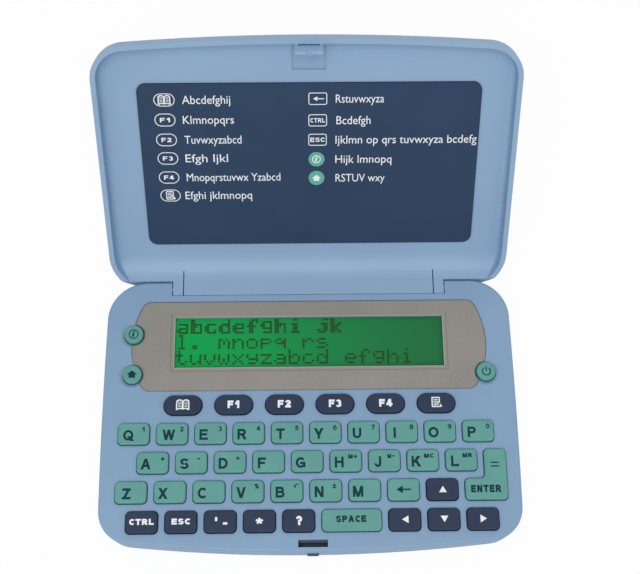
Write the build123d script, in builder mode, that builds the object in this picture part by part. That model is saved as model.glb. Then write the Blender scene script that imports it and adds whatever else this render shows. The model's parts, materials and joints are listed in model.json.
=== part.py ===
from build123d import *

import os
from math import cos, radians, sin, tan

os.makedirs("parts", exist_ok=True)

# Electronic dictionary with a hinged lid, drawn with the lid open at its stop.
# Millimetres, +Z up, +X to the right, the user sits on the -Y side.
# The origin is the centre of the underside.

# ---------------------------------------------------------------- base shell
base_width = 133.5
base_depth = 89.7
base_height = 11.5
back_corner = 13.0
front_corner = 10.8
front_bulge = 4.1
side_bulge = 0.5
draft_angle = 3.0
rim_edge = 0.8
foot_edge = 1.6
seam_height = 4.5
seam_gap = 0.1
cover_wall = 1.6
side_wall = 1.5
floor_wall = 1.6
weld = 0.2

# --------------------------------------------------------------------- hinge
lid_opening = 126.0
barrel_radius = 2.45
axis_drop = 1.1
barrel_gap = 0.25
tongue_inset = 21.55
tongue_width = base_width - 2 * tongue_inset
tongue_end_gap = 0.3
web_low = 0.8
trunnion_radius = 0.65
trunnion_length = 2.2
trunnion_gap = 0.04
ear_width = 12.5
trough_wall = 1.2
finger_width = 3.3
slit_width = 0.35
slit_reach = 6.2

# ----------------------------------------------------------------------- lid
rim_gap = 0.2
lid_side_inset = 1.15
lid_overhang = 0.45
lid_bulge = 2.8
lid_thickness = 6.5
lid_skin = 1.8
lid_wall = 1.6
lid_hinge_corner = 14.5
lid_free_corner = 11.0
lid_draft = 4.0
lid_outer_edge = 3.0
tray_edge = 1.6
sweep_radius = 10.0
hinge_clearance = 0.3

panel_side_inset = 13.4
panel_width = base_width - 2 * panel_side_inset
panel_shift = 0.7
panel_start = 14.4
panel_end_inset = 15.9
panel_thickness = 0.8
panel_corner = 3.0
panel_recess = 0.3
panel_fit = 0.1

# --------------------------------------------------------------------- latch
latch_x = 0.6
latch_slot_width = 9.2
latch_slot_depth = 2.3
slot_land = 1.5
hook_width = 8.4
hook_stem = 1.15
hook_side_gap = 0.4
hook_barb = 0.6
barb_height = 1.0
hook_reach = 4.35
hook_slit_width = 6.6
hook_slit_gap = 0.4
hook_slit_depth = 1.5
hook_notch = 1.6
hook_window_width = 10.4
hook_window_length = 7.9
hook_window_depth = 0.6
latch_travel = 0.7
catch_overlap = 0.3
catch_gap = 0.15
catch_thickness = 1.4
upstand_thickness = 0.7
slider_width = 12.0
slider_thickness = 1.2
slider_arm = 6.0
slider_arm_thickness = 0.6
nub_width = 3.7
nub_height = 1.6
nub_corner = 0.5
nub_edge = 0.4
nub_protrusion = 0.45
nub_fit = 0.15
spring_stop = 1.0
spring_room = 0.4
slider_gap = 0.1
hook_room = 1.65

# ---------------------------------------------------------------------- keys
key_field_inset = 5.75
key_pitch = (base_width - 2 * key_field_inset) / 10
key_gap = 2.25
key_width = key_pitch - key_gap
front_row_inset = 9.55
function_row_inset = 42.75
row_pitch = (base_depth - front_row_inset - function_row_inset) / 4
row_gap = 2.5
key_depth = row_pitch - row_gap
key_corner = 1.4
key_rise = 1.1
key_edge = 0.4
key_travel = 0.8
key_fit = 0.25
flange_rim = 0.55
flange_thickness = 0.8
flange_gap = 0.1
first_row_y = -base_depth / 2 + front_row_inset + 3 * row_pitch
row_shifts = (-4.6, -4.08, -4.61, -4.31)
space_extra = 6.35
space_width = key_pitch + space_extra
enter_extra = 1.15
enter_bar_width = key_pitch + enter_extra
enter_arm_cut = 6.4
enter_arm_width = enter_bar_width - enter_arm_cut
function_field_inset = 26.0
function_pitch = (base_width - 2 * function_field_inset) / 5
function_gap = 4.05
function_width = function_pitch - function_gap
function_trim = 0.45
function_depth = key_depth - function_trim
function_row_extra = 0.05
function_row_gap = row_pitch + function_row_extra
round_key_radius = 3.1
bite_gap = 0.15
dish_radius = 4.3
dish_depth = 0.4
round_key_inset = 9.25
round_key_x = base_width / 2 - round_key_inset
info_key_y = base_depth / 2 - 18.6
shift_key_y = base_depth / 2 - 32.3

# ------------------------------------------------------------------- display
view_inset = 22.55
view_width = base_width - 2 * view_inset
view_depth = 17.6
view_y = base_depth / 2 - 21.25
lens_ledge = 1.0
lens_thickness = 0.7
lens_fit = 0.1
bezel_depth = 30.7
bezel_y = base_depth / 2 - 22.5
bezel_waist_inset = 8.9
bezel_waist_width = base_width - 2 * bezel_waist_inset
bezel_top_width = bezel_waist_width - 7.7
bezel_base_width = bezel_waist_width - 8.7
bezel_waist_y = bezel_y - 3.35
bezel_corner = 3.4
bezel_thickness = 1.0
bezel_recess = 0.9
bezel_fit = 0.1
bezel_edge = 0.25
glass_border = 3.0
glass_thickness = 2.0
glass_gap = 0.1

# ---------------------------------------------------------------- inner parts
board_thickness = 1.0
board_gap = 0.6
board_lift = 3.6
board_inset = 2.2
processor_spot = (-42.0, -6.95)
processor_radius = 5.5
processor_height = 1.1
memory_spot = (8.0, -6.95)
memory_size = (12.0, 9.0, 1.2)
crystal_spot = (22.0, -14.95)
crystal_size = (7.0, 3.0, 1.6)
contact_radius = 2.5
contact_height = 0.15
strip_depth = 1.6
mat_thickness = 0.8
mat_margin = 0.5
pad_radius = 1.9
pad_clear = 0.05
bay_cell_radius = 10.0
cell_thickness = 3.2
cell_spacing = 22.0
cell_gap = 0.15
bay_y = base_depth / 2 - 24.85
bay_rim = 1.0
bay_wall = 1.2
bay_gap = 0.4
ledge_gap = 0.1
cell_step = 1.0
door_gap = 0.15
door_edge = 0.4
grip_width = 14.0
grip_step = 1.6
grip_count = 5
screw_radius = 1.0
screw_head_radius = 1.8
screw_head_height = 1.3
screw_head_sink = 0.5
screw_thread_gap = 0.02
screw_clearance = 0.15
screw_tip_gap = 1.5
boss_cap = 0.8
boss_radius = 2.3
boss_board_gap = 0.3
boss_side_inset = 10.75
front_boss_side_inset = 5.15
back_boss = (base_width / 2 - boss_side_inset, base_depth / 2 - 10.85)
middle_boss = (base_width / 2 - boss_side_inset, first_row_y + function_row_gap + 0.45)
front_boss = (base_width / 2 - front_boss_side_inset, -base_depth / 2 + 11.65)

# ---------------------------------------------------------- worked-out places
back_y = base_depth / 2
front_y = -base_depth / 2
axis_y = back_y - barrel_radius
axis_z = base_height - axis_drop
tilt = radians(180 - lid_opening)
hinge_axis = Vector(0, axis_y, axis_z)
lid_up = Vector(0, cos(tilt), sin(tilt))
lid_face = Vector(0, -sin(tilt), cos(tilt))
rim_offset = -(axis_drop + rim_gap)
tray_depth = lid_thickness - lid_skin
free_edge_u = axis_y - front_y + lid_overhang
panel_length = free_edge_u - panel_end_inset - panel_start
slot_y = front_y + slot_land + latch_slot_depth / 2
cover_under = base_height - cover_wall
board_z = floor_wall + board_lift
mat_z = board_z + board_thickness
flange_top = cover_under - flange_gap
flange_z = flange_top - flange_thickness
draft_run = tan(radians(draft_angle))
function_row_y = first_row_y + function_row_gap
boss_spots = [(side * x, y) for side in (-1, 1) for x, y in (back_boss, middle_boss, front_boss)]


def lid_plane(height):
    """Plane parallel to the lid's rim, `height` from the hinge axis towards the user."""
    return Plane(origin=hinge_axis + lid_face * height, x_dir=(1, 0, 0), z_dir=lid_face)


def lid_point(along, height):
    """World Y and Z of a point `along` the lid from the axis and `height` off it."""
    point = hinge_axis + lid_up * along + lid_face * height
    return (point.Y, point.Z)


def base_outline(inset=0.0):
    """Plan of the base: straight back, slightly bowed sides, and a gently bowed front."""
    half = base_width / 2
    end = half - side_bulge
    shoulder = front_y + front_bulge
    with BuildLine() as edge:
        Line((-end, back_y), (end, back_y))
        ThreePointArc((end, back_y), (half, (back_y + shoulder) / 2), (end, shoulder))
        ThreePointArc((end, shoulder), (0, front_y), (-end, shoulder))
        ThreePointArc((-end, shoulder), (-half, (back_y + shoulder) / 2), (-end, back_y))
    make_face(edge.edges())
    fillet(vertices().group_by(Axis.Y)[-1], back_corner)
    fillet(vertices().group_by(Axis.Y)[0], front_corner)
    if inset:
        offset(amount=-inset, mode=Mode.REPLACE)


def lid_outline(inset=0.0):
    """Plan of the lid on its own plane, the hinge side at the low end."""
    half = base_width / 2 - lid_side_inset
    low = -barrel_radius
    shoulder = free_edge_u - lid_bulge
    with BuildLine() as edge:
        Line((-half, low), (half, low))
        Line((half, low), (half, shoulder))
        ThreePointArc((half, shoulder), (0, free_edge_u), (-half, shoulder))
        Line((-half, shoulder), (-half, low))
    make_face(edge.edges())
    fillet(vertices().group_by(Axis.Y)[0], lid_hinge_corner)
    fillet(vertices().group_by(Axis.Y)[-1], lid_free_corner)
    if inset:
        offset(amount=-inset, mode=Mode.REPLACE)


def letter_key(grow=0.0):
    """Outline of an ordinary key, grown by `grow` all round."""
    RectangleRounded(key_width + 2 * grow, key_depth + 2 * grow, key_corner + grow)


def space_key(grow=0.0):
    """Outline of the long key at the middle of the front row."""
    RectangleRounded(space_width + 2 * grow, key_depth + 2 * grow, key_corner + grow)


def function_key(grow=0.0):
    """Outline of a key of the function row, with round ends."""
    SlotOverall(function_width + 2 * grow, function_depth + 2 * grow)


def round_key(grow=0.0):
    """Outline of one of the three round keys beside the display."""
    Circle(round_key_radius + grow)


def enter_key(grow=0.0):
    """L-shaped outline over two rows, measured from the centre of its lower bar."""
    arm_x = (enter_bar_width - enter_arm_width) / 2
    Rectangle(enter_bar_width, key_depth)
    with Locations((arm_x, row_pitch / 2)):
        Rectangle(enter_arm_width, key_depth + row_pitch)
    fillet(vertices(), key_corner)
    if grow:
        offset(amount=grow)


def letter_row(names, row):
    """One row of ordinary keys: name, outline, X and Y of each."""
    left = row_shifts[row] * key_pitch
    y = first_row_y - row * row_pitch
    return [(name, letter_key, left + place * key_pitch, y) for place, name in enumerate(names)]


row_four_y = first_row_y - 3 * row_pitch
space_x = (row_shifts[3] + 4) * key_pitch + key_width / 2 + key_gap + space_width / 2
arrow_x = space_x + space_width / 2 + key_gap + key_width / 2
enter_x = (row_shifts[2] + 8) * key_pitch + key_width / 2 + key_gap + enter_bar_width / 2
arrow_names = ("left", "down", "right")
function_names = ("dictionary", "thesaurus", "conjugation", "list", "index", "features")
function_left = -(len(function_names) - 1) / 2 * function_pitch

keys = letter_row("qwertyuiop", 0)
keys += letter_row("asdfghjkl", 1)
keys += letter_row(list("zxcvbnm") + ["correction", "up"], 2)
keys += letter_row(("control", "back", "apostrophe", "asterisk", "question"), 3)
keys += [("space", space_key, space_x, row_four_y)]
keys += [("enter", enter_key, enter_x, row_four_y + row_pitch)]
keys += [
    (name, letter_key, arrow_x + place * key_pitch, row_four_y)
    for place, name in enumerate(arrow_names)
]
keys += [
    (name, function_key, function_left + place * function_pitch, function_row_y)
    for place, name in enumerate(function_names)
]
keys += [("info", round_key, -round_key_x, info_key_y), ("shift", round_key, -round_key_x, shift_key_y)]
keys += [("power", round_key, round_key_x, shift_key_y)]
round_spots = [(x, y) for _, outline, x, y in keys if outline is round_key]


def bezel_outline(grow=0.0):
    """Plate round the display: bowed ends, with a bite for each round key."""
    top = bezel_y + bezel_depth / 2
    low = bezel_y - bezel_depth / 2
    with BuildLine() as edge:
        Line((-bezel_top_width / 2, top), (bezel_top_width / 2, top))
        ThreePointArc(
            (bezel_top_width / 2, top), (bezel_waist_width / 2, bezel_waist_y), (bezel_base_width / 2, low)
        )
        Line((bezel_base_width / 2, low), (-bezel_base_width / 2, low))
        ThreePointArc(
            (-bezel_base_width / 2, low), (-bezel_waist_width / 2, bezel_waist_y), (-bezel_top_width / 2, top)
        )
    make_face(edge.edges())
    fillet(vertices(), bezel_corner)
    if grow:
        offset(amount=grow, mode=Mode.REPLACE)
    with Locations(*round_spots):
        Circle(round_key_radius + key_fit + bite_gap - grow, mode=Mode.SUBTRACT)


def save(piece, name):
    """Label a finished piece and write its file."""
    piece.part.label = name
    export_step(piece.part, f"parts/{name}.step")


# ------------------------------------------------------------- keyboard cover
with BuildPart() as keyboard_cover:
    # Outer body from the seam up, narrower towards the bottom.
    with BuildSketch(Plane.XY.offset(base_height)):
        base_outline()
    extrude(amount=-(base_height - seam_height - seam_gap), taper=draft_angle)
    fillet(keyboard_cover.faces().sort_by(Axis.Z)[-1].edges(), rim_edge)

    # Hollow below the top wall.
    cavity_inset = side_wall + (base_height - seam_height) * draft_run
    with BuildSketch(Plane.XY.offset(seam_height)):
        base_outline(cavity_inset)
    extrude(amount=cover_under - seam_height, mode=Mode.SUBTRACT)

    # Closed trough along the back that carries the hinge.
    trough_low = axis_z - barrel_radius - barrel_gap - trough_wall
    trough_front = axis_y - barrel_radius - barrel_gap - trough_wall
    trough_back = back_y - cavity_inset + weld
    with BuildSketch(Plane.XY.offset(trough_low)):
        with Locations((0, (trough_front + trough_back) / 2)):
            Rectangle(tongue_width + 2 * ear_width, trough_back - trough_front)
    extrude(amount=cover_under - trough_low + weld)
    with BuildSketch(Plane.YZ):
        with Locations((axis_y, axis_z)):
            Circle(barrel_radius + barrel_gap)
    extrude(amount=tongue_width / 2 + tongue_end_gap, both=True, mode=Mode.SUBTRACT)
    with BuildSketch(Plane.YZ):
        with Locations((axis_y, axis_z)):
            Circle(trunnion_radius + trunnion_gap)
    extrude(amount=tongue_width / 2 + trunnion_length + tongue_end_gap, both=True, mode=Mode.SUBTRACT)

    # Screw bosses under the top wall.
    with BuildSketch(Plane.XY.offset(seam_height + seam_gap)):
        with Locations(*boss_spots):
            Circle(boss_radius)
    extrude(amount=cover_under - seam_height - seam_gap + weld)
    with BuildSketch(Plane.XY.offset(seam_height)):
        with Locations(*boss_spots):
            Circle(screw_radius + screw_thread_gap)
    extrude(amount=cover_under - seam_height - boss_cap, mode=Mode.SUBTRACT)

    # Seat of the display bezel, its window, and the ledge under the lens.
    with BuildSketch(Plane.XY.offset(base_height)):
        bezel_outline(bezel_fit)
    extrude(amount=-bezel_recess, mode=Mode.SUBTRACT)
    with BuildSketch(Plane.XY.offset(base_height)):
        with Locations((0, view_y)):
            Rectangle(view_width, view_depth)
    extrude(amount=-2 * cover_wall, mode=Mode.SUBTRACT)

    # Dished rings round the round keys.
    with Locations(*[(x, y, base_height - dish_depth / 2) for x, y in round_spots]):
        Cone(round_key_radius + key_fit, dish_radius, dish_depth, mode=Mode.SUBTRACT)

    # Openings for the keys.
    for _, outline, x, y in keys:
        with BuildSketch(Plane.XY.offset(base_height + key_rise)):
            with Locations((x, y)):
                outline(key_fit)
        extrude(amount=-(cover_wall + key_rise + weld), mode=Mode.SUBTRACT)

    # Slot for the lid's hook, and the opening for the latch nub.
    nub_z = base_height - hook_reach - slider_thickness / 2 - catch_gap - 2 * slider_gap
    with BuildSketch(Plane.XY.offset(base_height)):
        with Locations((latch_x, slot_y)):
            Rectangle(latch_slot_width, latch_slot_depth)
    extrude(amount=-(hook_reach + hook_room), mode=Mode.SUBTRACT)
    with BuildSketch(Plane.XZ.offset(-front_y - 2 * cavity_inset)):
        with Locations((latch_x, nub_z)):
            RectangleRounded(nub_width + 2 * nub_fit, nub_height + 2 * nub_fit, nub_corner + nub_fit)
    extrude(amount=3 * cavity_inset, mode=Mode.SUBTRACT)
save(keyboard_cover, "keyboard_cover")

# -------------------------------------------------------------------- display
bezel_low = base_height - bezel_recess
with BuildPart() as display_bezel:
    with BuildSketch(Plane.XY.offset(bezel_low)):
        bezel_outline()
        with Locations((0, view_y)):
            Rectangle(view_width + 2 * lens_ledge, view_depth + 2 * lens_ledge, mode=Mode.SUBTRACT)
    extrude(amount=bezel_thickness)
    chamfer(display_bezel.faces().sort_by(Axis.Z)[-1].edges(), bezel_edge)
save(display_bezel, "display_bezel")

with BuildPart() as display_window:
    with BuildSketch(Plane.XY.offset(bezel_low)):
        with Locations((0, view_y)):
            Rectangle(view_width + 2 * (lens_ledge - lens_fit), view_depth + 2 * (lens_ledge - lens_fit))
    extrude(amount=lens_thickness)
save(display_window, "display_window")

glass_low = cover_under - glass_gap - glass_thickness
with BuildPart() as lcd_panel:
    with BuildSketch(Plane.XY.offset(glass_low)):
        with Locations((0, view_y)):
            Rectangle(view_width + 2 * glass_border, view_depth + 2 * glass_border)
    extrude(amount=glass_thickness)
save(lcd_panel, "lcd_panel")

# ------------------------------------------------------------------------ lid
with BuildPart() as tray:
    # Hollow of the lid, ending at the hinge in a sweep that meets the base's top.
    with BuildSketch(lid_plane(rim_offset)):
        lid_outline(lid_wall)
    extrude(amount=-tray_depth, taper=lid_draft)
    fillet(tray.faces().sort_by(Axis((0, 0, 0), lid_face))[0].edges(), tray_edge)
    floor_offset = rim_offset - tray_depth
    sweep_start = (-floor_offset + axis_drop * cos(tilt)) / sin(tilt) - sweep_radius * tan(tilt / 2)
    with BuildSketch(Plane.YZ.offset(-base_width)):
        with BuildLine() as side:
            start = (axis_y + sweep_start, base_height)
            foot = lid_point(
                sweep_start * cos(tilt) + (base_height + sweep_radius - axis_z) * sin(tilt), floor_offset
            )
            far = lid_point(free_edge_u, floor_offset)
            high = lid_point(free_edge_u, sweep_radius)
            Line(start, (axis_y + sweep_start - sweep_radius, base_height))
            Line((axis_y + sweep_start - sweep_radius, base_height), high)
            Line(high, far)
            Line(far, foot)
            TangentArc(foot, start, tangent=(-cos(tilt), -sin(tilt)))
        make_face(side.edges())
    extrude(amount=2 * base_width, mode=Mode.INTERSECT)

with BuildPart() as lid_shell:
    # Outer body, its hinge end cut upright so that it stands behind the open base.
    with BuildSketch(lid_plane(rim_offset)):
        lid_outline()
    extrude(amount=-lid_thickness, taper=lid_draft)
    fillet(lid_shell.faces().sort_by(Axis((0, 0, 0), lid_face))[0].edges(), lid_outer_edge)
    add(tray.part, mode=Mode.SUBTRACT)
    end_y = back_y + hinge_clearance
    with BuildSketch(Plane.YZ.offset(-base_width)):
        with Locations((end_y, axis_z)):
            Rectangle(lid_thickness * 4, lid_thickness * 8, align=(Align.MAX, Align.CENTER))
    extrude(amount=2 * base_width, mode=Mode.SUBTRACT)

    # Hinge tongue: a barrel with a flat top level with the base, and its web.
    with BuildSketch(Plane.YZ.offset(-tongue_width / 2)):
        with Locations((axis_y, axis_z)):
            Circle(barrel_radius)
        with Locations((axis_y, axis_z - web_low)):
            Rectangle(sweep_start, web_low + axis_drop, align=(Align.MIN, Align.MIN))
        with Locations((axis_y, base_height)):
            Rectangle(4 * barrel_radius, barrel_radius, align=(Align.CENTER, Align.MIN), mode=Mode.SUBTRACT)
    extrude(amount=tongue_width)
    with BuildSketch(Plane.YZ):
        with Locations((axis_y, axis_z)):
            Circle(trunnion_radius)
    extrude(amount=tongue_width / 2 + trunnion_length, both=True)

    # Slits that free the two end fingers, so that their trunnions snap into the ears.
    for side_sign in (-1, 1):
        slit_x = side_sign * (tongue_width / 2 - finger_width - slit_width / 2)
        with Locations((slit_x, axis_y - barrel_radius, axis_z - web_low)):
            Box(
                slit_width, barrel_radius + slit_reach, sweep_radius,
                align=(Align.CENTER, Align.MIN, Align.MIN), mode=Mode.SUBTRACT,
            )
        with Locations((slit_x, axis_y - barrel_radius, axis_z - 2 * barrel_radius)):
            Box(
                slit_width, barrel_radius + hinge_clearance, sweep_radius,
                align=(Align.CENTER, Align.MIN, Align.MIN), mode=Mode.SUBTRACT,
            )

    # Shallow seat of the legend panel.
    panel_middle = panel_start + panel_length / 2
    with BuildSketch(lid_plane(floor_offset + panel_thickness)):
        with Locations((panel_shift, panel_middle)):
            RectangleRounded(panel_width, panel_length, panel_corner)
    extrude(amount=-(panel_thickness + panel_recess), mode=Mode.SUBTRACT)

    # Hook at the middle of the free edge, with a barb towards the hinge.
    hook_u = axis_y - slot_y + hook_side_gap
    hook_top = hook_reach - axis_drop
    stem_back = hook_u - hook_stem / 2
    with BuildSketch(lid_plane(floor_offset - weld)):
        with Locations((latch_x, hook_u)):
            Rectangle(hook_width, hook_stem)
    extrude(amount=hook_top - floor_offset + weld)
    with BuildSketch(lid_plane(floor_offset - weld)):
        with Locations((latch_x, hook_u)):
            Rectangle(
                hook_width, free_edge_u - lid_wall / 2 - hook_u, align=(Align.CENTER, Align.MIN)
            )
    extrude(amount=rim_offset - floor_offset + weld)
    with BuildSketch(Plane.YZ.offset(latch_x - hook_width / 2)):
        with BuildLine() as barb:
            Polyline(
                lid_point(stem_back + weld, hook_top - barb_height),
                lid_point(stem_back - hook_barb, hook_top - barb_height),
                lid_point(stem_back - hook_barb, hook_top - barb_height / 2),
                lid_point(stem_back, hook_top),
                lid_point(stem_back + weld, hook_top),
                close=True,
            )
        make_face(barb.edges())
    extrude(amount=hook_width)
    with BuildSketch(lid_plane(hook_top)):
        with Locations((latch_x, hook_u)):
            Rectangle(hook_notch, 4 * hook_stem)
    extrude(amount=-hook_notch / 2, mode=Mode.SUBTRACT)
    with BuildSketch(lid_plane(rim_offset)):
        with Locations((latch_x, hook_u + hook_stem / 2 + hook_slit_gap / 2)):
            Rectangle(hook_slit_width, hook_slit_gap)
    extrude(amount=-hook_slit_depth, mode=Mode.SUBTRACT)

    # Shallow moulded window in the floor below the hook.
    with BuildSketch(lid_plane(floor_offset)):
        with Locations((latch_x, stem_back - hook_barb - hook_window_length / 2)):
            Rectangle(hook_window_width, hook_window_length)
    extrude(amount=-hook_window_depth, mode=Mode.SUBTRACT)
save(lid_shell, "lid_shell")

with BuildPart() as lid_panel:
    with BuildSketch(lid_plane(floor_offset - panel_recess)):
        with Locations((panel_shift, panel_middle)):
            RectangleRounded(
                panel_width - 2 * panel_fit, panel_length - 2 * panel_fit, panel_corner - panel_fit
            )
    extrude(amount=panel_thickness)
save(lid_panel, "lid_panel")

# ---------------------------------------------------------------- bottom case
foot_inset = base_height * draft_run
case_inset = side_wall + foot_inset
bay_width = cell_spacing + 2 * (bay_cell_radius + bay_rim)
bay_depth = 2 * (bay_cell_radius + bay_rim)
slider_low = nub_z - slider_thickness / 2
arm_reach = slider_width / 2 + slider_arm
stop_x = arm_reach - spring_stop / 2
arm_back = front_y + case_inset + slider_arm_thickness + spring_room
stop_front = arm_back + latch_travel + catch_gap
ledge_x = middle_boss[0] / 2 + bay_wall
with BuildPart() as bottom_case:
    with BuildSketch():
        base_outline(foot_inset)
    extrude(amount=seam_height, taper=-draft_angle)
    fillet(bottom_case.faces().sort_by(Axis.Z)[0].edges(), foot_edge)
    with BuildSketch(Plane.XY.offset(floor_wall)):
        base_outline(case_inset)
    extrude(amount=seam_height, mode=Mode.SUBTRACT)

    # Screw posts, counterbored from below for the heads.
    with BuildSketch(Plane.XY.offset(floor_wall - weld)):
        with Locations(*boss_spots):
            Circle(boss_radius)
    extrude(amount=seam_height - floor_wall + weld)
    with Locations(*[(x, y, seam_height) for x, y in boss_spots]):
        Hole(screw_radius + screw_clearance, seam_height)
    with BuildSketch():
        with Locations(*boss_spots):
            Circle(screw_head_radius + screw_clearance)
    extrude(amount=screw_head_sink + screw_head_height, mode=Mode.SUBTRACT)

    # Battery bay: a wall round the cells and the opening for its cover.
    with BuildSketch(Plane.XY.offset(floor_wall - weld)):
        with Locations((0, bay_y)):
            Rectangle(bay_width + 2 * bay_wall, bay_depth + 2 * bay_wall)
    extrude(amount=board_lift + weld - bay_gap)
    with BuildSketch():
        with Locations((0, bay_y)):
            Rectangle(bay_width, bay_depth)
    extrude(amount=floor_wall + board_lift, mode=Mode.SUBTRACT)

    # Ledges that carry the circuit board beside the bay, and the latch's stops.
    with BuildSketch(Plane.XY.offset(floor_wall - weld)):
        with Locations((-ledge_x, first_row_y), (ledge_x, first_row_y)):
            Rectangle(bay_wall, 2 * row_pitch)
    extrude(amount=board_lift + weld - ledge_gap)
    with BuildSketch(Plane.XY.offset(floor_wall - weld)):
        with Locations((latch_x - stop_x, stop_front), (latch_x + stop_x, stop_front)):
            Rectangle(spring_stop, bay_wall, align=(Align.CENTER, Align.MIN))
    extrude(amount=slider_low + slider_thickness - floor_wall)
    with BuildSketch(Plane.XY.offset(floor_wall - weld)):
        with Locations((latch_x - slider_width / 3, stop_front), (latch_x + slider_width / 3, stop_front)):
            Rectangle(bay_wall, 1.5 * bay_wall, align=(Align.CENTER, Align.MAX))
    extrude(amount=slider_low - slider_gap - floor_wall + weld)
save(bottom_case, "bottom_case")

with BuildPart() as battery_cover:
    with BuildSketch():
        with Locations((0, bay_y)):
            Rectangle(bay_width - 2 * door_gap, bay_depth - 2 * door_gap)
    extrude(amount=floor_wall)
    chamfer(battery_cover.faces().sort_by(Axis.Z)[0].edges(), door_edge)
    with BuildSketch():
        with Locations((0, bay_y - bay_depth / 4)):
            with GridLocations(0, grip_step, 1, grip_count):
                Rectangle(grip_width, grip_step / 2)
    extrude(amount=door_edge, mode=Mode.SUBTRACT)
save(battery_cover, "battery_cover")

with BuildPart() as coin_cells:
    cell_spots = [(-cell_spacing / 2, bay_y), (cell_spacing / 2, bay_y)]
    with BuildSketch(Plane.XY.offset(floor_wall + cell_gap)):
        with Locations(*cell_spots):
            Circle(bay_cell_radius - cell_step)
    extrude(amount=cell_thickness / 4)
    with BuildSketch(Plane.XY.offset(floor_wall + cell_gap + cell_thickness / 4)):
        with Locations(*cell_spots):
            Circle(bay_cell_radius)
    extrude(amount=cell_thickness * 3 / 4)
save(coin_cells, "coin_cells")

with BuildPart() as case_screws:
    with BuildSketch(Plane.XY.offset(screw_head_sink)):
        with Locations(*boss_spots):
            Circle(screw_head_radius)
    extrude(amount=screw_head_height)
    with BuildSketch(Plane.XY.offset(screw_head_sink)):
        with Locations(*boss_spots):
            Rectangle(2 * screw_radius, screw_radius / 2)
            Rectangle(screw_radius / 2, 2 * screw_radius)
    extrude(amount=screw_head_height / 2, mode=Mode.SUBTRACT)
    with BuildSketch(Plane.XY.offset(screw_head_sink + screw_head_height)):
        with Locations(*boss_spots):
            Circle(screw_radius)
    extrude(amount=cover_under - screw_head_sink - screw_head_height - screw_tip_gap)
save(case_screws, "case_screws")

# ---------------------------------------------------------------------- latch
barb_back = slot_y + hook_stem / 2 + hook_barb - hook_side_gap
catch_front = barb_back - catch_overlap
upstand_front = barb_back + catch_gap
upstand_back = upstand_front + upstand_thickness
catch_z = base_height - hook_reach + barb_height + catch_gap
with BuildPart() as latch_button:
    slider_front = front_y + case_inset + slider_gap
    with BuildSketch(Plane.XY.offset(slider_low)):
        with Locations((latch_x, slider_front)):
            Rectangle(slider_width, upstand_back - slider_front, align=(Align.CENTER, Align.MIN))
        with Locations((latch_x, arm_back)):
            Rectangle(2 * arm_reach, slider_arm_thickness, align=(Align.CENTER, Align.MAX))
    extrude(amount=slider_thickness)
    with BuildSketch(Plane.XY.offset(slider_low + slider_thickness)):
        with Locations((latch_x, upstand_front)):
            Rectangle(latch_slot_width, upstand_thickness, align=(Align.CENTER, Align.MIN))
    extrude(amount=catch_z - slider_low - slider_thickness)
    with BuildSketch(Plane.XY.offset(catch_z)):
        with Locations((latch_x, upstand_back)):
            Rectangle(latch_slot_width, upstand_back - catch_front, align=(Align.CENTER, Align.MAX))
    extrude(amount=catch_thickness)
    with BuildSketch(Plane.XZ.offset(-slider_front - weld)):
        with Locations((latch_x, nub_z)):
            RectangleRounded(nub_width, nub_height, nub_corner)
    extrude(amount=slider_front - front_y + nub_protrusion + weld)
    fillet(latch_button.faces().sort_by(Axis.Y)[0].edges(), nub_edge)
save(latch_button, "latch_button")

# ---------------------------------------------------------------- electronics
board_front = stop_front + bay_wall + board_gap
board_top = board_z + board_thickness
strip_y = view_y + view_depth / 2 + glass_border / 2
with BuildPart() as circuit_board:
    with BuildSketch(Plane.XY.offset(board_z)):
        base_outline(case_inset + board_inset)
        with Locations((latch_x, front_y)):
            Rectangle(
                2 * (arm_reach + board_gap), board_front - front_y,
                align=(Align.CENTER, Align.MIN), mode=Mode.SUBTRACT,
            )
        with Locations(*boss_spots):
            Circle(boss_radius + boss_board_gap, mode=Mode.SUBTRACT)
    extrude(amount=board_thickness)
    # Processor under its potting, a memory chip and a crystal, on the underside.
    with Locations((*processor_spot, board_z)):
        Cylinder(processor_radius, processor_height, align=(Align.CENTER, Align.CENTER, Align.MAX))
    with Locations((*memory_spot, board_z)):
        Box(*memory_size, align=(Align.CENTER, Align.CENTER, Align.MAX))
    with Locations((*crystal_spot, board_z)):
        Box(*crystal_size, align=(Align.CENTER, Align.CENTER, Align.MAX))
    # Contact pads over the cells, and the rubber connector strip under the glass.
    with Locations(*[(x, bay_y, board_z) for x, _ in cell_spots]):
        Cylinder(contact_radius, contact_height, align=(Align.CENTER, Align.CENTER, Align.MAX))
    with Locations((0, strip_y, board_top)):
        Box(view_width, strip_depth, glass_low - board_top, align=(Align.CENTER, Align.CENTER, Align.MIN))
save(circuit_board, "circuit_board")

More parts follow.
